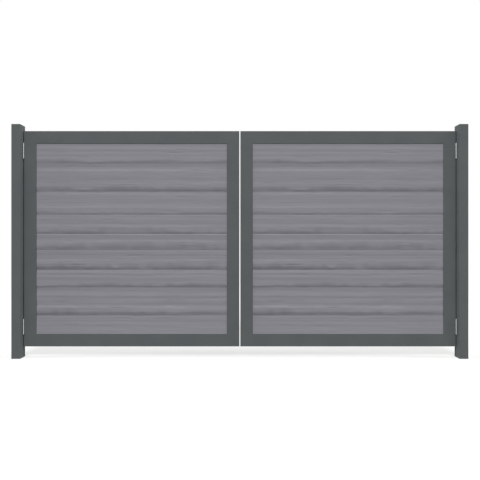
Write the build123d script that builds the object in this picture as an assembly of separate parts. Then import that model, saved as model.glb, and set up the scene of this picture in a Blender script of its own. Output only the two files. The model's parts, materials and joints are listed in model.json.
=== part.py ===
from build123d import *
from itertools import cycle
import os

# A double swing gate: two mitred aluminium frames filled with composite boards, hung between two posts.
# Sizes are in millimetres. X runs along the gate, Y from its front to its back and Z up.
# The origin is the middle of the left post's foot, at ground level.

# Gateway and posts: square aluminium tube
OPENING = 3460  # clear width between the posts
POST_SIZE = 70
POST_WALL = 3
POST_CORNER = 1.2  # corner radius of the tube
POST_RISE = 44  # top of the cap above the top of the leaf

# Post caps: a flat plate over the tube's rim, with a lug down each inside face of the tube
CAP_PLATE = 5
CAP_EDGE = 1  # chamfer round the plate's top
LUG_WIDTH = 40
LUG_DEPTH = 20
LUG_THICK = 2.5
LUG_FIT = 0.3  # lug to tube

# Leaves: both are the same size, with their backs level with the backs of the posts
GROUND_CLEARANCE = 86
LEAF_HEIGHT = 1720
HINGE_GAP = 5.5  # post to leaf
MEETING_GAP = 8  # leaf to leaf

# Leaf frame: a hollow profile whose two faces run on as lips, with the boards in the channel between them
FRAME_FACE = 100  # width of the profile as seen from the front
FRAME_WALL = 2.5
FRAME_CORNER = 1  # outside corner radius of the profile
CHANNEL_DEPTH = 22

# Boards: hollow planks with a tongue along the top and a groove along the bottom
TOP_BOARD = 158  # what shows of the top board
BOARD_SET = (224, 185, 155, 127, 159, 142)  # cover heights of the boards below it, then over again
BOARD_THICK = 22
BOARD_FIT = 0.5  # board to lip, on each face
BOARD_END_GAP = 2  # room for the boards to grow at both ends and above the top board
LEAST_RIP = 60  # a last board lower than this stays on the one above
UPPER_BEVEL = 8  # height of the bevel along a board's upper edge
LOWER_BEVEL = 20  # height of the longer bevel along its lower edge
BEVEL_DEPTH = 4.5  # the bevels of two boards meet this far behind their faces
TONGUE_THICK = 6
TONGUE_HEIGHT = 8
TONGUE_FIT = 0.5  # tongue to groove, on each face and at the tip
BOARD_SKIN = 4.5  # wall round the hollow chambers
CHAMBER_PITCH = 38  # about how far apart the webs stand

# Hinges: a fixed half with a pin on the post, and a swinging half on the leaf that lifts off
HINGE_HEIGHT = 125
HINGE_INSET = 97  # end of the leaf to the nearer end of its hinge
KNUCKLE_RADIUS = 5
POST_FIT = 0.5  # knuckle to the side of the post
LEAF_FIT = 0.3  # knuckle to the face of the leaf
KNUCKLE_END = 5  # closed end of the knuckle's bore
KNUCKLE_EDGE = 0.8  # chamfer round the closed end
FLAP_THICK = 2
FLAP_REACH = 30  # hinge axis to the far edge of the flap
FLAP_RELIEF = 1  # flap to the other half's knuckle
FLAP_CORNER = 4
PIN_RADIUS = 3
PIN_FIT = 0.05  # pin to bore, all round
PIN_TIP = 1
COLLAR = 2  # bearing ring on the pin, between the knuckles
COLLAR_FIT = 0.2  # ring to the knuckle above it

# Positions that follow from the sizes
middle = (POST_SIZE + OPENING) / 2
leaf_start = POST_SIZE / 2 + HINGE_GAP
leaf_end = middle - MEETING_GAP / 2
leaf_width = leaf_end - leaf_start
leaf_bottom = GROUND_CLEARANCE
leaf_top = GROUND_CLEARANCE + LEAF_HEIGHT
post_rim = leaf_top + POST_RISE - CAP_PLATE
channel_width = BOARD_THICK + 2 * BOARD_FIT
leaf_depth = channel_width + 2 * FRAME_WALL
leaf_mid_y = (POST_SIZE - leaf_depth) / 2
axis_x = POST_SIZE / 2 + POST_FIT + KNUCKLE_RADIUS
axis_y = leaf_mid_y - leaf_depth / 2 - LEAF_FIT - KNUCKLE_RADIUS
knuckle_height = (HINGE_HEIGHT - COLLAR - COLLAR_FIT) / 2
upper_hinge_z = leaf_top - HINGE_INSET - HINGE_HEIGHT
lower_hinge_z = leaf_bottom + HINGE_INSET


def block(x, y, z):
    """A box between two values in each direction."""
    size = [b - a for a, b in (x, y, z)]
    centre = [(a + b) / 2 for a, b in (x, y, z)]
    return Pos(*centre) * Box(*size)


def make_post():
    bore = POST_SIZE - 2 * POST_WALL
    tube = RectangleRounded(POST_SIZE, POST_SIZE, POST_CORNER) - RectangleRounded(bore, bore, POST_CORNER)
    return extrude(tube, post_rim)


def make_cap():
    cap = extrude(Pos(0, 0, post_rim) * RectangleRounded(POST_SIZE, POST_SIZE, POST_CORNER), CAP_PLATE)
    cap = chamfer(cap.faces().sort_by(Axis.Z)[-1].edges(), CAP_EDGE)
    lug_face = POST_SIZE / 2 - POST_WALL - LUG_FIT
    lug_span = (-LUG_WIDTH / 2, LUG_WIDTH / 2)
    lug = block((lug_face - LUG_THICK, lug_face), lug_span, (post_rim - LUG_DEPTH, post_rim))
    for place in PolarLocations(0, 4):
        cap += place * lug
    return cap


def frame_profile():
    """Section of the leaf frame: X from the outer edge to the channel's mouth, Y from front to back."""
    floor = FRAME_FACE - CHANNEL_DEPTH
    profile = Pos(FRAME_FACE / 2, 0) * RectangleRounded(FRAME_FACE, leaf_depth, FRAME_CORNER)
    profile -= Pos(floor / 2, 0) * Rectangle(floor - 2 * FRAME_WALL, channel_width)
    return profile - Pos(floor + CHANNEL_DEPTH / 2, 0) * Rectangle(CHANNEL_DEPTH, channel_width)


def make_member(length, corner, inward, along):
    """One side of the leaf frame from a corner of the leaf, with both ends mitred."""
    bar = extrude(frame_profile(), length)
    outline = Polyline(
        (0, 0),
        (FRAME_FACE, FRAME_FACE),
        (FRAME_FACE, length - FRAME_FACE),
        (0, length),
        close=True,
    )
    mitred = bar & extrude(Plane.XZ * make_face(outline), leaf_depth, both=True)
    x, z = corner
    return Plane((x, leaf_mid_y, z), x_dir=inward, z_dir=along).location * mitred


def board_spans():
    """The bottom and top of each board's body, from the top board down."""
    sill = leaf_bottom + FRAME_FACE - CHANNEL_DEPTH
    head = leaf_top - FRAME_FACE + CHANNEL_DEPTH - BOARD_END_GAP
    spans = []
    joint = leaf_top - FRAME_FACE - TOP_BOARD
    for cover in cycle(BOARD_SET):
        if joint - sill < LEAST_RIP:
            return spans + [(sill, head)]
        spans.append((joint, head))
        head = joint
        joint -= cover


def make_board(bottom, top, is_top, is_bottom):
    """One board: its section from front to back, bored by its chambers and drawn along the gate."""
    height = top - bottom
    face = BOARD_THICK / 2
    shoulder = face - BEVEL_DEPTH
    tongue = TONGUE_THICK / 2
    groove = tongue + TONGUE_FIT
    groove_depth = TONGUE_HEIGHT + TONGUE_FIT
    lower = [(face, 0)]
    if not is_bottom:
        lower = [(groove, groove_depth), (groove, 0), (shoulder, 0), (face, LOWER_BEVEL)]
    upper = [(face, height)]
    if not is_top:
        tip = height + TONGUE_HEIGHT
        upper = [(face, height - UPPER_BEVEL), (shoulder, height), (tongue, height), (tongue, tip)]
    back = lower + upper
    front = [(-y, z) for y, z in reversed(back)]
    section = make_face(Polyline(*back, *front, close=True))

    chamber_floor = BOARD_SKIN if is_bottom else max(LOWER_BEVEL, groove_depth + BOARD_SKIN)
    chamber_head = height - (BOARD_SKIN if is_top else max(UPPER_BEVEL, BOARD_SKIN))
    count = max(1, round((chamber_head - chamber_floor) / CHAMBER_PITCH))
    pitch = (chamber_head - chamber_floor + BOARD_SKIN) / count
    chamber = Rectangle(BOARD_THICK - 2 * BOARD_SKIN, pitch - BOARD_SKIN)
    for i in range(count):
        section -= Pos(0, chamber_floor + i * pitch + (pitch - BOARD_SKIN) / 2) * chamber

    reach = FRAME_FACE - CHANNEL_DEPTH + BOARD_END_GAP
    start = Plane((leaf_start + reach, leaf_mid_y, bottom), x_dir=(0, 1, 0), z_dir=(1, 0, 0))
    return extrude(start * section, leaf_width - 2 * reach)


def make_hinge_half(flap_start):
    """One half, with the hinge axis on Z, its knuckle at the bottom and its flap from flap_start along X."""
    clear = KNUCKLE_RADIUS + FLAP_RELIEF
    flap_x = (flap_start - axis_x, flap_start - axis_x + FLAP_THICK)
    flap = block(flap_x, (clear, FLAP_REACH), (0, HINGE_HEIGHT))
    flap = fillet(flap.edges().filter_by(Axis.X).group_by(Axis.Y)[-1], FLAP_CORNER)
    neck = block(flap_x, (0, clear), (0, knuckle_height))
    barrel = extrude(Circle(KNUCKLE_RADIUS), knuckle_height)
    barrel = chamfer(barrel.edges().sort_by(Axis.Z)[0], KNUCKLE_EDGE)
    bore = extrude(Pos(0, 0, KNUCKLE_END) * Circle(PIN_RADIUS + PIN_FIT), HINGE_HEIGHT)
    return flap + neck + barrel - bore


def make_pin():
    """The turned pin: a shank with a chamfered tip at each end, and the bearing ring part way up."""
    end = KNUCKLE_END + PIN_FIT
    shank = extrude(Pos(0, 0, end) * Circle(PIN_RADIUS), HINGE_HEIGHT - 2 * end)
    shank = chamfer(shank.edges().filter_by(GeomType.CIRCLE), PIN_TIP)
    return shank + extrude(Pos(0, 0, knuckle_height) * Circle(KNUCKLE_RADIUS), COLLAR)


# The left half of the gate
half = {"post": make_post(), "post_cap": make_cap()}

# The frame's four sides run round the leaf from its lower hinge corner
half["hinge_stile"] = make_member(LEAF_HEIGHT, (leaf_start, leaf_bottom), (1, 0, 0), (0, 0, 1))
half["top_rail"] = make_member(leaf_width, (leaf_start, leaf_top), (0, 0, -1), (1, 0, 0))
half["meeting_stile"] = make_member(LEAF_HEIGHT, (leaf_end, leaf_top), (-1, 0, 0), (0, 0, -1))
half["bottom_rail"] = make_member(leaf_width, (leaf_end, leaf_bottom), (0, 0, 1), (-1, 0, 0))

spans = board_spans()
for number, (bottom, top) in enumerate(spans, start=1):
    half[f"board_{number}"] = make_board(bottom, top, number == 1, number == len(spans))

fixed_half = make_hinge_half(POST_SIZE / 2)
swinging_half = Pos(0, 0, HINGE_HEIGHT) * mirror(make_hinge_half(leaf_start - FLAP_THICK), about=Plane.XY)
pin = make_pin()
for place, z in (("upper", upper_hinge_z), ("lower", lower_hinge_z)):
    seat = Pos(axis_x, axis_y, z)
    half[f"{place}_hinge_fixed_half"] = seat * fixed_half
    half[f"{place}_hinge_swinging_half"] = seat * swinging_half
    half[f"{place}_hinge_pin"] = seat * pin

# The right half mirrors the left about the middle of the gateway
mirror_plane = Plane((middle, 0, 0), z_dir=(1, 0, 0))
os.makedirs("parts", exist_ok=True)
for name, shape in half.items():
    export_step(shape.solid(), f"parts/left_{name}.step")
    export_step(mirror(shape, about=mirror_plane).solid(), f"parts/right_{name}.step")

print(f"{2 * len(half)} parts, leaf {leaf_width} x {LEAF_HEIGHT}, {len(spans)} boards a leaf")
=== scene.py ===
# %% [markdown]
# # Dressing a composite gate
#
# The gate is a pair of leaves between two square posts. Each leaf is a mitred aluminium frame with a
# powder coat, filled with nine boards of wood-plastic composite, and it turns on two stainless hinges.
# The solids already have their real sizes, so this lesson leaves them where they are. It gives each one
# a finish, carves the faces of the boards and adds the screws. Lengths are written in millimetres.

# %% Load the frame
import bpy
import bmesh
import json
import math
import numpy as np
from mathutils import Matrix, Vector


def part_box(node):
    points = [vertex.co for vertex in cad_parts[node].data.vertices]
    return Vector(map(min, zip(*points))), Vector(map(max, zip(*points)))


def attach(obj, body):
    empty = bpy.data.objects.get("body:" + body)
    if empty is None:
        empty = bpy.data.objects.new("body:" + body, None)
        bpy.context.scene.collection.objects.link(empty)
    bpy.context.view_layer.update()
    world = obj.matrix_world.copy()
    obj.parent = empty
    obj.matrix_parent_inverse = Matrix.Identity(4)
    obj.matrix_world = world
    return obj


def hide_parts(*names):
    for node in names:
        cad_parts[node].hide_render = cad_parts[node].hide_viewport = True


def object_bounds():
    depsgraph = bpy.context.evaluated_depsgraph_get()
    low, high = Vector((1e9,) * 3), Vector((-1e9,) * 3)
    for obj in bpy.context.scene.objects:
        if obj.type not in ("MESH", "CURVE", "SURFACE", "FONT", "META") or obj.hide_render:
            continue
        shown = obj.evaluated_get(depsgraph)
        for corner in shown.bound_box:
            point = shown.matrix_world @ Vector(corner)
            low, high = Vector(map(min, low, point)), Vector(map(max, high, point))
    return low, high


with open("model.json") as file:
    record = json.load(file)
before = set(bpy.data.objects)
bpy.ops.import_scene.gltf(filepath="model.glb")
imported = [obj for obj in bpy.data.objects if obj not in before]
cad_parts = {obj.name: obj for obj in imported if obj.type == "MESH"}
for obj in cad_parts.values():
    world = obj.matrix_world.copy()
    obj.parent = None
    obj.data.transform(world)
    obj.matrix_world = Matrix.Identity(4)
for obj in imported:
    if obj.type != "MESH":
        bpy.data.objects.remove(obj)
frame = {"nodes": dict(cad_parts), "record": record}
cad_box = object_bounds()
MM = 0.001
SIDES = ("left", "right")
print("solids:", len(frame["nodes"]), "box in mm:", [[round(v / MM) for v in corner] for corner in cad_box])

# %% [markdown]
# ## The camera
#
# The picture looks at the gate squarely from the front, from about chest height, and both posts show a
# little of their inner sides. How much they show gives the distance, because the sides are as deep as
# the posts are wide. The lens then follows from how much of the picture the gate fills.

# %% Place the camera
CAMERA_DISTANCE = 2968  # camera to the front of the posts
CAMERA_HEIGHT = 936
CAMERA_SIDESTEP = 1.2  # to the right of the middle of the gate
PICTURE_WIDTH = 3779  # what the picture takes in at the front of the posts
SENSOR_WIDTH = 36
QUARTER_TURN = math.radians(90)  # a new camera looks straight down, and this makes it look along +Y

middle = (cad_box[0] + cad_box[1]) / 2
camera_data = bpy.data.cameras.new("camera")
camera_data.sensor_width = SENSOR_WIDTH
camera_data.lens = SENSOR_WIDTH * CAMERA_DISTANCE / PICTURE_WIDTH
camera = bpy.data.objects.new("camera", camera_data)
camera.location = (
    middle.x + CAMERA_SIDESTEP * MM,
    cad_box[0].y - CAMERA_DISTANCE * MM,
    CAMERA_HEIGHT * MM,
)
camera.rotation_euler = (QUARTER_TURN, 0, 0)
bpy.context.scene.collection.objects.link(camera)
bpy.context.scene.camera = camera
bpy.context.scene.view_settings.view_transform = "Standard"
print("lens:", round(camera_data.lens, 2), "mm")

# %% [markdown]
# ## Colours and nodes
#
# Colours are written as they look on a screen, in hex, and Blender works with linear light, so one
# function turns the first into the second. Another adds a node to a material. It takes the settings by
# name, and it links an input where it is given another node's output instead of a value.


# %% Two helpers for materials
def linear(hex_colour):
    """The linear colour, with alpha, of an sRGB hex value such as #5C5F60, by the sRGB standard's curve."""
    channels = [int(hex_colour[i:i + 2], 16) / 255 for i in (1, 3, 5)]
    curve = [c / 12.92 if c <= 0.04045 else ((c + 0.055) / 1.055) ** 2.4 for c in channels]
    return (*curve, 1)


def add_node(tree, kind, inputs=None, **settings):
    """A node of one kind, with its settings made and its inputs set or linked."""
    node = tree.nodes.new("ShaderNode" + kind)
    for name, value in settings.items():
        setattr(node, name, value)
    for name, value in (inputs or {}).items():
        if isinstance(value, bpy.types.NodeSocket):
            tree.links.new(value, node.inputs[name])
        else:
            node.inputs[name].default_value = value
    return node


print("mid grey in linear light:", [round(c, 3) for c in linear("#808080")])

# %% [markdown]
# ## A white world
#
# The gate stands in plain white. A white world alone would light every face alike and the boards would
# look flat, so the world is white only where the camera or a reflection sees it, and dimmer as a light.
# A ray knows what it is for, and the Light Path node tells the two uses apart.

# %% Surround the gate with white
WORLD_LIGHT = 0.3
WHITE = (1, 1, 1, 1)


def seen_rays(tree):
    """1 for what the camera, a mirror image or a view through glass sees, and 0 for light."""
    path = add_node(tree, "LightPath").outputs
    through = {0: path["Is Glossy Ray"], 1: path["Is Transmission Ray"]}
    mirrored = add_node(tree, "Math", through, operation="MAXIMUM")
    seen = {0: path["Is Camera Ray"], 1: mirrored.outputs[0]}
    return add_node(tree, "Math", seen, operation="MAXIMUM").outputs[0]


world = bpy.data.worlds.new("white_studio")
bpy.context.scene.world = world
world.use_nodes = True
tree = world.node_tree
tree.nodes.clear()
as_light = add_node(tree, "Background", {"Color": WHITE, "Strength": WORLD_LIGHT})
as_backdrop = add_node(tree, "Background", {"Color": WHITE, "Strength": 1})
uses = {0: seen_rays(tree), 1: as_light.outputs[0], 2: as_backdrop.outputs[0]}
either = add_node(tree, "MixShader", uses)
add_node(tree, "OutputWorld", {"Surface": either.outputs[0]})
print("the world lights the gate at", WORLD_LIGHT, "and is seen at 1")

# %% [markdown]
# ## Lamps
#
# A soft lamp from high in front draws the scrapes on the boards. One on each side, almost in line with
# the gate, reaches the inner sides of the posts, and a wide one behind lights the back. All four are
# suns, so that the light is as strong at the ends of the gate as in the middle.

# %% Hang the lamps
# Each lamp: strength, and in degrees its height, its turn to the right of the camera and its width
LAMPS = {
    "front_softbox": (2.52, 50, 0, 25),
    "left_softbox": (2.2, 30, -87, 10),
    "right_softbox": (2.2, 30, 87, 10),
    "back_softbox": (1.8, 25, 180, 60),
}
UNSEEN_LAMPS = ("back_softbox",)  # it would gleam on the tops of the rails

for name, (strength, height, turn, width) in LAMPS.items():
    lamp_data = bpy.data.lights.new(name, "SUN")
    lamp_data.energy = strength
    lamp_data.angle = math.radians(width)
    lamp = bpy.data.objects.new(name, lamp_data)
    lamp.rotation_euler = (QUARTER_TURN - math.radians(height), 0, math.radians(turn))
    lamp.visible_glossy = name not in UNSEEN_LAMPS
    bpy.context.scene.collection.objects.link(lamp)
print("lamps:", len(LAMPS))

# %% [markdown]
# ## The floor
#
# The floor is pale and matt and keeps the soft shadow of the gate. As a light it is a middle grey, so
# that it throws little of the lamps' light back at the gate from below. As it is seen, half of it is
# pale paint and half the white of the backdrop, and further out the white takes over, so that no
# horizon shows.

# %% Lay the floor
FLOOR_REACH = 40_000

reach = FLOOR_REACH * MM
corners = [(-reach, -reach, 0), (reach, -reach, 0), (reach, reach, 0), (-reach, reach, 0)]
floor_mesh = bpy.data.meshes.new("floor")
floor_mesh.from_pydata(corners, [], [(0, 1, 2, 3)])
floor = bpy.data.objects.new("floor", floor_mesh)
floor.location = (middle.x, middle.y, cad_box[0].z)
bpy.context.scene.collection.objects.link(floor)
print("floor at height", round(floor.location.z / MM), "mm")

# %% Paint the floor
FLOOR_AS_LIGHT = "#8A8A88"
FLOOR_AS_SEEN = "#D2D2D0"
FLOOR_WHITE = 0.5  # share of the backdrop's white near the gate
FADE_START = 2_500  # distance from the gate where that share starts to grow
FADE_END = 7_000

floor_paint = bpy.data.materials.new("matt_floor_paint")
floor_paint.use_nodes = True
tree = floor_paint.node_tree
tree.nodes.clear()
place = add_node(tree, "TexCoord").outputs["Object"]
away = add_node(tree, "VectorMath", {0: place}, operation="LENGTH")
fade = add_node(tree, "MapRange", {
    "Value": away.outputs["Value"],
    "From Min": FADE_START * MM,
    "From Max": FADE_END * MM,
    "To Min": FLOOR_WHITE,
    "To Max": 1,
})
as_light = add_node(tree, "BsdfDiffuse", {"Color": linear(FLOOR_AS_LIGHT)})
matt = add_node(tree, "BsdfDiffuse", {"Color": linear(FLOOR_AS_SEEN)})
white = add_node(tree, "Emission", {"Color": WHITE, "Strength": 1})
as_floor = add_node(tree, "MixShader", {0: fade.outputs[0], 1: matt.outputs[0], 2: white.outputs[0]})
uses = {0: seen_rays(tree), 1: as_light.outputs[0], 2: as_floor.outputs[0]}
either = add_node(tree, "MixShader", uses)
add_node(tree, "OutputMaterial", {"Surface": either.outputs[0]})
floor_mesh.materials.append(floor_paint)
print("made", floor_paint.name)

# %% [markdown]
# ## Powder coat on aluminium
#
# The posts and the frames are aluminium extrusions with a matt anthracite powder coat. The powder melts
# and flows out in the oven, and it sets with a very fine pebbled skin. To the eye that is an even dark
# grey without mirror images, a trace lighter and darker where the coat is thinner or thicker. The coat
# is a plastic, so the shader is a dielectric and not a metal.


# %% The powder coat
def start_material(name):
    """A new material, its node tree and its shader."""
    material = bpy.data.materials.new(name)
    material.use_nodes = True
    return material, material.node_tree, material.node_tree.nodes["Principled BSDF"]


def per_metre(size):
    """How often a pattern of this size in mm repeats in a metre."""
    return 1 / (size * MM)


PEBBLE = 6  # real pebbles are about 1 mm, drawn coarser so that they show
PEBBLE_HEIGHT = 0.2
PEBBLE_STRENGTH = 0.25
CLOUD = 180  # patches of thicker and thinner coat
CLOUD_STOPS = ((0.3, "#4C5052"), (0.7, "#515556"))
COAT_ROUGHNESS = {"To Min": 0.76, "To Max": 0.88}
COAT_IOR = 1.5  # polyester

powder_coat, tree, shader = start_material("powder_coated_aluminium")
place = add_node(tree, "TexCoord").outputs["Object"]
cloud = add_node(tree, "TexNoise", {"Vector": place, "Scale": per_metre(CLOUD), "Detail": 2})
tint = add_node(tree, "ValToRGB", {"Fac": cloud.outputs["Fac"]})
for stop, (position, colour) in zip(tint.color_ramp.elements, CLOUD_STOPS):
    stop.position = position
    stop.color = linear(colour)
pebble = add_node(tree, "TexNoise", {"Vector": place, "Scale": per_metre(PEBBLE), "Detail": 1})
gloss = add_node(tree, "MapRange", {"Value": pebble.outputs["Fac"], **COAT_ROUGHNESS})
skin = add_node(tree, "Bump", {
    "Height": pebble.outputs["Fac"],
    "Strength": PEBBLE_STRENGTH,
    "Distance": PEBBLE_HEIGHT * MM,
})
tree.links.new(tint.outputs["Color"], shader.inputs["Base Color"])
tree.links.new(gloss.outputs[0], shader.inputs["Roughness"])
tree.links.new(skin.outputs["Normal"], shader.inputs["Normal"])
shader.inputs["IOR"].default_value = COAT_IOR
print("made", powder_coat.name)

# %% [markdown]
# ## Moulded caps
#
# The caps are moulded nylon, coloured right through to match the posts. The mould is etched, so the
# plastic has a fine even grain, and it is a little glossier than the coat. A pattern of small cells
# stands for the grain, as both its colour and its bump.

# %% The caps' plastic
ETCH = 4  # a real etched grain is under 1 mm, drawn coarser so that it shows
ETCH_HEIGHT = 0.2
ETCH_STRENGTH = 0.3
NYLON_COLOURS = ("#404445", "#464A4B")  # middle and rim of a cell
NYLON_ROUGHNESS = 0.55
NYLON_IOR = 1.53

cap_nylon, tree, shader = start_material("moulded_nylon")
place = add_node(tree, "TexCoord").outputs["Object"]
etch = add_node(tree, "TexVoronoi", {"Vector": place, "Scale": per_metre(ETCH)})
shade = add_node(tree, "ValToRGB", {"Fac": etch.outputs["Distance"]})
for stop, colour in zip(shade.color_ramp.elements, NYLON_COLOURS):
    stop.color = linear(colour)
grain = add_node(tree, "Bump", {
    "Height": etch.outputs["Distance"],
    "Strength": ETCH_STRENGTH,
    "Distance": ETCH_HEIGHT * MM,
})
tree.links.new(shade.outputs["Color"], shader.inputs["Base Color"])
tree.links.new(grain.outputs["Normal"], shader.inputs["Normal"])
shader.inputs["Roughness"].default_value = NYLON_ROUGHNESS
shader.inputs["IOR"].default_value = NYLON_IOR
print("made", cap_nylon.name)

# %% [markdown]
# ## Satin stainless steel
#
# The hinges are stainless steel, brushed along their length. The brush leaves fine upright scratches,
# which stretch each highlight and keep it dull. They are noise that is stretched upwards, and the same
# noise varies the colour, the gloss and the bump, because all three come from the one scratch.

# %% The hinges' steel
SCRATCH_WIDTH = 1.2  # real scratches are some hundredths of a millimetre, drawn coarser so that they show
SCRATCH_LENGTH = 60
SCRATCH_DEPTH = 0.05
SCRATCH_STRENGTH = 0.1
STEEL_COLOURS = ("#B8BCBC", "#CACECE")
STEEL_ROUGHNESS = {"To Min": 0.22, "To Max": 0.28}

satin_steel, tree, shader = start_material("satin_stainless_steel")
place = add_node(tree, "TexCoord").outputs["Object"]
upright = add_node(tree, "Mapping", {
    "Vector": place,
    "Scale": (per_metre(SCRATCH_WIDTH), per_metre(SCRATCH_WIDTH), per_metre(SCRATCH_LENGTH)),
})
brush = add_node(tree, "TexNoise", {"Vector": upright.outputs[0], "Scale": 1, "Detail": 2})
tone = add_node(tree, "ValToRGB", {"Fac": brush.outputs["Fac"]})
for stop, colour in zip(tone.color_ramp.elements, STEEL_COLOURS):
    stop.color = linear(colour)
gloss = add_node(tree, "MapRange", {"Value": brush.outputs["Fac"], **STEEL_ROUGHNESS})
scratch = add_node(tree, "Bump", {
    "Height": brush.outputs["Fac"],
    "Strength": SCRATCH_STRENGTH,
    "Distance": SCRATCH_DEPTH * MM,
})
tree.links.new(tone.outputs["Color"], shader.inputs["Base Color"])
tree.links.new(gloss.outputs[0], shader.inputs["Roughness"])
tree.links.new(scratch.outputs["Normal"], shader.inputs["Normal"])
shader.inputs["Metallic"].default_value = 1
print("made", satin_steel.name)

# %% [markdown]
# ## Finishing the solids
#
# Posts, caps, frames and hinges have the right shape already, so they only get their finish. A small
# bevel eases the sharp edges. It also opens a hairline along each mitre, as two sawn ends leave.

# %% Give the solids their finish
EASED_EDGE = 0.6
EASED_STEPS = 2  # facets across an eased edge
SHARP = math.radians(40)  # between two faces
finishes = {
    "powder_coated_aluminium": powder_coat,
    "cap_plastic": cap_nylon,
    "stainless_steel": satin_steel,
}
slots = {part["node"]: part["material_slot"] for part in frame["record"]["subparts"]}
for name, solid in frame["nodes"].items():
    if slots[name] not in finishes:
        continue
    solid.data.materials.clear()
    solid.data.materials.append(finishes[slots[name]])
    edge = solid.modifiers.new("eased_edges", "BEVEL")
    edge.width = EASED_EDGE * MM
    edge.segments = EASED_STEPS
    edge.limit_method = "ANGLE"
    edge.angle_limit = SHARP
print("finished:", sum(slot in finishes for slot in slots.values()), "solids")

# %% [markdown]
# ## Hinge screws
#
# Three countersunk screws hold each flap of a hinge. The flaps fold to a slit when the leaf is closed, so
# the heads lie almost flush and only show once it opens. A head is rings of points round its axis: a
# rim, a shallow dome, and in the middle a socket for a hexagonal key. Rings of equal count are easy to
# join with quads, so the socket's six sides are drawn with as many points as the round rim.

# %% Draw one screw head
HEAD_RADIUS = 4.6
HEAD_RISE = 0.5
HEAD_SINK = 0.5  # part of the head inside the flap
DOME_RINGS = (0.95, 0.8, 0.6)  # shares of the head's radius
DOME_END = 0.4  # share of the radius where the dome gives way to the socket
SOCKET = 1.5  # middle to a flat side of the socket
SOCKET_FLOOR = 0.1  # height above the flap
RING = 36  # points in a ring


def dome(share):
    """Height of the head above the flap at a share of its radius."""
    return HEAD_RISE * (1 - share ** 2)


def screw_rings():
    """The angles, and the radii and the height of each ring from the sunk rim to the socket's floor."""
    angles = np.arange(RING) * math.tau / RING
    sixth = math.tau / 6
    six_sided = SOCKET / np.cos(angles % sixth - sixth / 2)
    rim = np.full(RING, HEAD_RADIUS)
    rings = [(rim, -HEAD_SINK), (rim, 0)]
    rings += [(share * rim, dome(share)) for share in DOME_RINGS]
    return angles, rings + [(six_sided, dome(DOME_END)), (six_sided, SOCKET_FLOOR)]


def add_screw(shape, place, out):
    """Adds one screw head to a bmesh, with its middle at a place in mm and its axis along X."""
    angles, rings = screw_rings()
    loops = []
    for radius, rise in rings:
        points = [
            (place[0] + out * rise, place[1] + r * math.cos(a), place[2] + r * math.sin(a))
            for r, a in zip(radius, angles)
        ]
        loops.append([shape.verts.new([v * MM for v in point]) for point in points])
    for low, high in zip(loops, loops[1:]):
        for k in range(RING):
            shape.faces.new((low[k - 1], low[k], high[k], high[k - 1]))
    shape.faces.new(loops[0])
    shape.faces.new(loops[-1])


print("points in a screw head:", RING * len(screw_rings()[1]))

# %% [markdown]
# The fixed flap lies on the side of the post and the swinging flap on the edge of the leaf, so the faces
# that the heads sit on follow from those two, and their heights from the hinge. The three screws of a
# flap are one mesh, which rides with the post or with the leaf.

# %% Screw the hinges on
FLAP_THICK = 2
FLAP_MIDDLE = 12  # in from the flap's far edge
SCREW_HEIGHTS = (0.15, 0.5, 0.85)  # shares of the hinge's height

screw_count = 0
for side, inward in zip(SIDES, (1, -1)):
    post_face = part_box(f"{side}_post")[1 if inward > 0 else 0].x
    leaf_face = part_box(f"{side}_hinge_stile")[0 if inward > 0 else 1].x
    carriers = (("fixed", post_face, inward, "posts"), ("swinging", leaf_face, -inward, f"{side}_leaf"))
    for level in ("upper", "lower"):
        for half, carrier, out, body in carriers:
            low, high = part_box(f"{side}_{level}_hinge_{half}_half")
            shape = bmesh.new()
            for share in SCREW_HEIGHTS:
                height = (low.z + share * (high.z - low.z)) / MM
                add_screw(shape, (carrier / MM + out * FLAP_THICK, high.y / MM - FLAP_MIDDLE, height), out)
                screw_count += 1
            bmesh.ops.recalc_face_normals(shape, faces=shape.faces)
            mesh = bpy.data.meshes.new(f"{side}_{level}_{half}_screws")
            shape.to_mesh(mesh)
            shape.free()
            mesh.materials.append(satin_steel)
            mesh.shade_smooth()
            mesh.set_sharp_from_angle(angle=SHARP)
            screws = bpy.data.objects.new(mesh.name, mesh)
            bpy.context.scene.collection.objects.link(screws)
            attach(screws, body)
print("screws:", screw_count)

# %% [markdown]
# ## Wood-plastic composite
#
# The boards are wood flour bound in polyethylene and pressed through a die, and rollers emboss them with
# the look of scraped planks. The colour runs in long soft streaks, because the wood flour never mixes
# quite evenly. A wire brush then opens the skin, which leaves it dry and matt, with fine lines along the
# board. The streaks are noise stretched along the board. A tone that is stored on the mesh is painted
# light: painted shade darkens the hollows, and a painted highlight lightens the banks that face up.

# %% The boards' composite
STREAK = (2600, 60, 22)  # length, depth and height of a colour streak
STREAK_BEND = 0.3  # how far the noise bends a streak
STREAK_SHARE = 0.6  # of the streaks in the colour; the rest is brushing
BRUSHING = (240, 30, 7)  # real brush lines are about 1 mm high, drawn coarser so that they show
BRUSH_DEPTH = 0.5
BRUSH_STRENGTH = 0.4
COMPOSITE_COLOURS = ("#6A6970", "#939299")
COMPOSITE_ROUGHNESS = {"To Min": 0.68, "To Max": 0.84}
COMPOSITE_IOR = 1.5  # polyethylene

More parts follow.
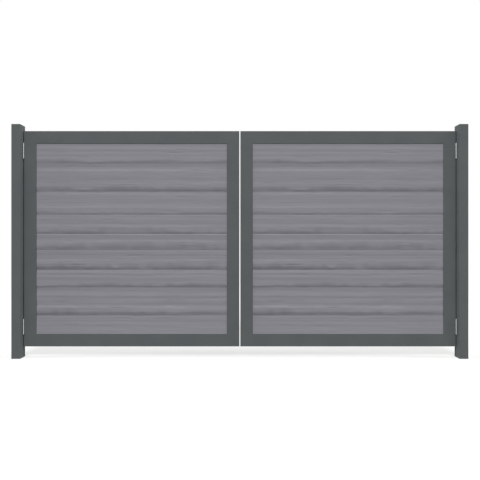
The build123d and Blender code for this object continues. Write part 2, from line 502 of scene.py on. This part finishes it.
composite, tree, shader = start_material("wood_plastic_composite")
place = add_node(tree, "TexCoord").outputs["Object"]
drawn = add_node(tree, "Mapping", {"Vector": place, "Scale": [per_metre(size) for size in STREAK]})
flow = {"Vector": drawn.outputs[0], "Scale": 1, "Detail": 2, "Distortion": STREAK_BEND}
streak = add_node(tree, "TexNoise", flow)
combed = add_node(tree, "Mapping", {"Vector": place, "Scale": [per_metre(size) for size in BRUSHING]})
comb = add_node(tree, "TexNoise", {"Vector": combed.outputs[0], "Scale": 1, "Detail": 3})
# the mesh's tone: painted shade in the hollows and painted highlight on banks that face up
carved = add_node(tree, "Attribute", attribute_name="tone")
terms = {0: streak.outputs["Fac"], 1: STREAK_SHARE, 2: carved.outputs["Fac"]}
streaks_and_painted_light = add_node(tree, "Math", terms, operation="MULTIPLY_ADD")
terms = {0: comb.outputs["Fac"], 1: 1 - STREAK_SHARE, 2: streaks_and_painted_light.outputs[0]}
grain_and_painted_light = add_node(tree, "Math", terms, operation="MULTIPLY_ADD")
colouring = add_node(tree, "ValToRGB", {"Fac": grain_and_painted_light.outputs[0]})
for stop, colour in zip(colouring.color_ramp.elements, COMPOSITE_COLOURS):
    stop.color = linear(colour)
dry = add_node(tree, "MapRange", {"Value": comb.outputs["Fac"], **COMPOSITE_ROUGHNESS})
lines = add_node(tree, "Bump", {
    "Height": comb.outputs["Fac"],
    "Strength": BRUSH_STRENGTH,
    "Distance": BRUSH_DEPTH * MM,
})
tree.links.new(colouring.outputs["Color"], shader.inputs["Base Color"])
tree.links.new(dry.outputs[0], shader.inputs["Roughness"])
tree.links.new(lines.outputs["Normal"], shader.inputs["Normal"])
shader.inputs["IOR"].default_value = COMPOSITE_IOR
print("made", composite.name)

# %% [markdown]
# ## Scraped boards
#
# A board is a section drawn along its length: two faces, a tongue on top and a groove below. Plain solids
# would give straight joints and flat faces. On the real boards the face is scraped in long strokes, and
# all of that is a depth below the face, worked out for a grid of points. Shadows then move with the
# light, which a painted line wouldn't do. Each point also gets a tone of painted shade and painted
# highlight, which doesn't move. The grid is close enough up the face to draw a thin edge, and
# closer still near the joints. Along the board, where little changes, it is wider.

# %% Sizes of a board
BOARD_THICK = 22
TONGUE = (3, 8)  # half its thickness, and its height
GROOVE = (3.5, 8.5)
STATION = 14  # spacing of points along a board
ROW = 3  # spacing of points up a face
EDGE_ROWS = (0, 2, 4.5, 7, 10, 14)  # rows near the lower and the upper edge
boards = sorted(name for name in frame["nodes"] if name.startswith("left_board"))


def face_grid(number):
    """Stations x along a board and rows z up its face, in mm, and the height of the face."""
    low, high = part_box(f"left_board_{number}")
    length = (high.x - low.x) / MM
    height = (high.z - low.z) / MM - (0 if number == 1 else TONGUE[1])
    x = np.linspace(0, length, round(length / STATION) + 1)
    edge = np.array(EDGE_ROWS)
    inner = np.linspace(edge[-1], height - edge[-1], round(height / ROW))
    z = np.concatenate([edge[:-1], inner, (height - edge[:-1])[::-1]])
    return x, z, height


top_x, top_z, top_height = face_grid(1)
print("boards in a leaf:", len(boards))
print("top board:", len(top_x), "stations and", len(top_z), "rows in", round(top_height), "mm")

# %% [markdown]
# ## Strokes of a scraper
#
# No stroke is straight. A scraper that is held by hand drifts slowly, and it also shivers, so a stroke's
# line is the sum of a slow and a quick random line. Each is made of random heights at even spacings,
# with a smooth curve between one and the next. The numbers come from a seeded generator, so that the
# boards are the same each time.

# %% A wandering line
SEED = 7
LONG_TURN = 220  # spacing of a stroke's slow turns along the board
LONG_SHARE = 0.55
SHORT_TURN = 54
SHORT_SHARE = 0.45


def wander(rng, x, spacing):
    """A smooth random line between -1 and 1 along x, with a turn about every spacing."""
    knots = rng.uniform(-1, 1, int(x[-1] / spacing) + 3)
    step = np.floor(x / spacing).astype(int)
    part = x / spacing - step
    part = part * part * (3 - 2 * part)  # level at both ends of a step
    return knots[step] * (1 - part) + knots[step + 1] * part


def drift(rng, x):
    """A line between -1 and 1 with slow and quick turns, as a hand-held scraper leaves."""
    return LONG_SHARE * wander(rng, x, LONG_TURN) + SHORT_SHARE * wander(rng, x, SHORT_TURN)


sample = drift(np.random.default_rng(SEED), top_x)
print("one drift runs from", round(sample.min(), 2), "to", round(sample.max(), 2))

# %% [markdown]
# ## Scooped lower edges
#
# The lower edge of each board but the last is scooped away towards the joint. The scoop is what makes
# the dark line there, and because its strength and its height both drift, the line swells and thins. It
# is steepest at the joint, and a painted shade darkens its colour towards the joint as well.

# %% Scoop a lower edge
SCOOP_DEPTH = 4.5
SCOOP_STRENGTH = 0.9  # the mean, as a share of the depth and of the tone
SCOOP_SWELL = 0.45  # how far the strength drifts
SCOOP_RAGGED = 0.7  # how far the height drifts, as a share of it
SCOOP_CURVE = 1.7  # power of the slope towards the joint
SCOOP_FLOOR = 1.4  # the tone is full before the edge, by this slope
# Height and painted shade of the scoops, from the top board down
SCOOPS = (
    (28, 0.17),
    (40, 0.3),
    (24, 0.17),
    (54, 0.3),
    (54, 0.28),
    (54, 0.42),
    (34, 0.26),
    (50, 0.32),
)


def scoop(rng, x, up, tall, scoop_painted_shade):
    """Depth, and painted shade towards the joint, of a scooped lower edge."""
    strength = SCOOP_STRENGTH + SCOOP_SWELL * drift(rng, x)
    near = np.clip(1 - up / (tall * (1 + SCOOP_RAGGED * drift(rng, x))), 0, 1)
    depth = SCOOP_DEPTH * strength * near ** SCOOP_CURVE
    return depth, -scoop_painted_shade * strength * np.minimum(SCOOP_FLOOR * near, 1) ** SCOOP_CURVE


print("scooped edges:", len(SCOOPS), "up to", max(tall for tall, _ in SCOOPS), "mm high")

# %% [markdown]
# ## Bevelled upper edges
#
# The upper edge of each board but the first slopes back to meet the scoop above it. It faces the sky and
# catches the light. Each bevel also has its own painted tone: on some a painted highlight, as it faces up
# into the light, and on others a painted shade just below the dark joint.

# %% Bevel an upper edge
BEVEL_RAGGED = 0.5  # how far the height drifts, as a share of it
# Height, depth and painted tone of the bevels (above 0 a painted highlight, below 0 a painted shade), from
# the second board down
BEVELS = (
    (44, 0.3, -0.17),
    (36, 2.4, -0.2),
    (18, 1, 0.05),
    (10, 1.8, 0.25),
    (20, 1.2, 0),
    (30, 3, -0.1),
    (28, 0.5, -0.2),
    (22, 1.6, 0),
)


def bevel(rng, x, below_top, tall, deep, bevel_painted_light):
    """Depth of a bevelled upper edge, and its painted light: a painted highlight where the tone is above 0,
    a painted shade where it is below.
    """
    near = np.clip(1 - below_top / (tall * (1 + BEVEL_RAGGED * drift(rng, x))), 0, 1)
    return deep * near, bevel_painted_light * near


print("bevelled edges:", len(BEVELS), "up to", max(deep for _, deep, _ in BEVELS), "mm deep")

# %% [markdown]
# ## Long scrapes
#
# A few broad scrapes run the whole length of a board. The blade comes in gently from above and leaves a
# steeper bank below, so the cut is a bell with a wide upper half and a narrow lower one. The lower bank
# faces up into the light, and a painted highlight makes it a trace paler as well.

# %% Scrape along a face
UPPER_BANK = 0.45  # shares of a scrape's size
LOWER_BANK = 0.2
SCRAPE_SWAY = 5  # how far its line drifts up and down
SCRAPE_STRENGTH = 0.9  # the mean, as a share of the depth
SCRAPE_SWELL = 0.6  # how far the strength drifts
# painted highlight on the lower bank, which faces up into the light
SCRAPE_PAINTED_HIGHLIGHT = 0.04  # for each mm of depth, lighter on the lower bank
# Each scrape: board from the top down, height of its bottom above the lower joint, its size and its depth
SCRAPES = (
    (1, 128, 30, 0.5),
    (1, 92, 30, 0.45),
    (1, 49, 30, 0.3),
    (2, 183, 60, 2.2),
    (2, 125, 30, 0.3),
    (2, 78, 45, 1.3),
    (3, 73, 55, 1),
    (4, 76, 45, 0.9),
    (5, 83, 65, 2.2),
    (6, 89, 60, 1.9),
    (7, 97, 28, 0.6),
    (8, 202, 130, 2),
    (8, 130, 40, 1.2),
    (8, 83, 60, 3),
    (9, 120, 60, 0.8),
    (9, 62, 30, 0.5),
)


def scrape(rng, x, up, bottom, size, deep):
    """Depth of one long scrape, and the painted highlight on its lower bank."""
    above = up - bottom - SCRAPE_SWAY * drift(rng, x)
    across = above / (size * np.where(above > 0, UPPER_BANK, LOWER_BANK))
    depth = deep * (SCRAPE_STRENGTH + SCRAPE_SWELL * drift(rng, x)) * np.exp(-across ** 2 / 2)
    return depth, SCRAPE_PAINTED_HIGHLIGHT * np.maximum(-across, 0) * depth


print("long scrapes:", len(SCRAPES))

# %% [markdown]
# ## Fine waves and short nicks
#
# Between the strokes a face isn't flat. Shallow waves come and go all over it, and here and there the
# scraper has dug in for a hand's breadth and left a short nick, with painted shade darkening its hollow.
# The waves are two sines up the face, each with a strength and a phase that wander along the board.

# %% Wave and nick a face
WAVE = 0.1  # depth of the waves
WAVE_SPANS = (9, 14)  # height of each wave, as mm for one radian
WAVE_TURN = 400  # spacing of the turns in a wave's strength
SLIDE = 3  # how far a wave slides up and down, in radians
SLIDE_TURN = 700
NICK_ROOM = 22  # height of board for each nick
NICK_LENGTH = (50, 190)
NICK_HEIGHT = 5  # middle to edge
NICK_DEPTH = 0.8
# painted shade in the hollow of a nick
NICK_PAINTED_SHADE = 0.06


def waves(rng, x, up):
    """The waves of a face, from minus to plus the number of them."""
    return sum(
        wander(rng, x, WAVE_TURN) * np.sin(up / span + SLIDE * wander(rng, x, SLIDE_TURN))
        for span in WAVE_SPANS
    )


def nick(rng, x, up, height):
    """One nick at a random place, as 1 in its middle and 0 away from it."""
    centre = rng.uniform(0, x[-1])
    level = rng.uniform(0, height)
    half = rng.uniform(*NICK_LENGTH) / 2
    along = np.clip(2 - 2 * np.abs(x - centre) / half, 0, 1)  # full in its middle half
    return along * np.exp(-((up - level) / NICK_HEIGHT) ** 2)


print("one nick for each", NICK_ROOM, "mm of board")

# %% [markdown]
# ## One face
#
# Where two long strokes meet, the deeper one has cut the other away, so the deepest counts and they
# aren't added up. Their painted shades and highlights are added, and the waves and nicks come on top.


# %% Carve one face
def carve(rng, number, x, z, height):
    """Depth below the face, and painted shade and highlight as a tone, for each row z and each station x of
    a board's face.
    """
    up = z[:, None]
    cuts = []
    if number <= len(SCOOPS):
        cuts.append(scoop(rng, x, up, *SCOOPS[number - 1]))
    if number > 1:
        cuts.append(bevel(rng, x, height - up, *BEVELS[number - 2]))
    cuts += [scrape(rng, x, up, *stroke) for board, *stroke in SCRAPES if board == number]
    depth = np.max([cut_depth for cut_depth, _ in cuts], axis=0)
    tone = np.sum([cut_tone for _, cut_tone in cuts], axis=0)
    ripple = len(WAVE_SPANS) + waves(rng, x, up)
    for _ in range(round(height / NICK_ROOM)):
        spot = nick(rng, x, up, height)
        depth = depth + NICK_DEPTH * spot
        # painted shade darkens the nick
        tone = tone - NICK_PAINTED_SHADE * spot
    return depth + WAVE * ripple, tone


sample = carve(np.random.default_rng(SEED), 1, top_x, top_z, top_height)
print("deepest cut in a top board:", round(sample[0].max(), 1), "mm")

# %% [markdown]
# ## One board
#
# The skin of a board is rows of points that run along it, in order round its section: up the front, over
# the tongue, down the back and through the groove. Each row is joined to the next by quads, and a flat
# face closes each end. The top board has no tongue and the bottom one no groove, as they are cut to fit
# the frame.


# %% Lay out the rows of a board
def skin_rows(number, x, z, height):
    """Distance across the board, height, and painted shade and highlight as a tone, for each row round the
    section and each station x.
    """
    rng = np.random.default_rng(SEED + number)
    face = BOARD_THICK / 2
    fronts = carve(rng, number, x, z, height)
    backs = carve(rng, number, x, z, height)
    head = [] if number == 1 else [(-TONGUE[0], height), (-TONGUE[0], height + TONGUE[1])]
    foot = [] if number == len(boards) else [(GROOVE[0], 0), (GROOVE[0], GROOVE[1])]
    head = head + [(-y, up) for y, up in reversed(head)]
    foot = foot + [(-y, up) for y, up in reversed(foot)]
    even = np.ones_like(x)
    rows = [(-face + depth, up * even, tone) for depth, tone, up in zip(*fronts, z)]
    rows += [(y * even, up * even, 0 * even) for y, up in head]
    rows += [(face - depth, up * even, tone) for depth, tone, up in reversed(list(zip(*backs, z)))]
    rows += [(y * even, up * even, 0 * even) for y, up in foot]
    return [np.array(part) for part in zip(*rows)]


print("rows round the top board:", len(skin_rows(1, top_x, top_z, top_height)[0]))


# %% Draw one board
def draw_board(number):
    """The mesh of one board, carved on both faces, in the place of the left board."""
    low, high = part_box(f"left_board_{number}")
    x, z, height = face_grid(number)
    across, upward, tone = skin_rows(number, x, z, height)
    points = np.stack([np.broadcast_to(x, across.shape), across, upward], axis=2).transpose(1, 0, 2)
    corner = np.array((low.x, (low.y + high.y) / 2, low.z))
    places = points.reshape(-1, 3) * MM + corner

    count = len(across)
    quads = []
    for station in range(len(x) - 1):
        for k in range(count):
            a = station * count + k
            b = station * count + (k + 1) % count
            quads.append((a, a + count, b + count, b))
    last = (len(x) - 1) * count
    ends = [tuple(range(count)), tuple(last + k for k in reversed(range(count)))]
    mesh = bpy.data.meshes.new(f"scraped_board_{number}")
    mesh.from_pydata(places.tolist(), [], quads + ends)
    # the tone attribute carries the painted shade and painted highlight to the composite
    mesh.attributes.new("tone", "FLOAT", "POINT").data.foreach_set("value", tone.T.ravel())
    mesh.shade_smooth()
    mesh.set_sharp_from_angle(angle=SHARP)
    mesh.materials.append(composite)
    return mesh


meshes = [draw_board(number) for number in range(1, len(boards) + 1)]
triangles = sum(len(polygon.vertices) - 2 for mesh in meshes for polygon in mesh.polygons)
print("triangles in the boards of a leaf:", triangles)

# %% [markdown]
# ## Both leaves
#
# The two leaves are filled from the same set of boards, so a mesh is drawn once and hung twice, the
# second time one leaf further along. Each carved board stands for its plain solid and moves with its leaf.

# %% Hang the boards in both leaves
leaf_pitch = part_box("right_board_1")[0].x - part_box("left_board_1")[0].x
for number, mesh in enumerate(meshes, 1):
    for side, shift in zip(SIDES, (0, leaf_pitch)):
        board = bpy.data.objects.new(f"{side}_scraped_board_{number}", mesh)
        board.location.x = shift
        bpy.context.scene.collection.objects.link(board)
        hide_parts(f"{side}_board_{number}")
        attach(board, f"{side}_leaf")
print("boards hung:", len(SIDES) * len(meshes))
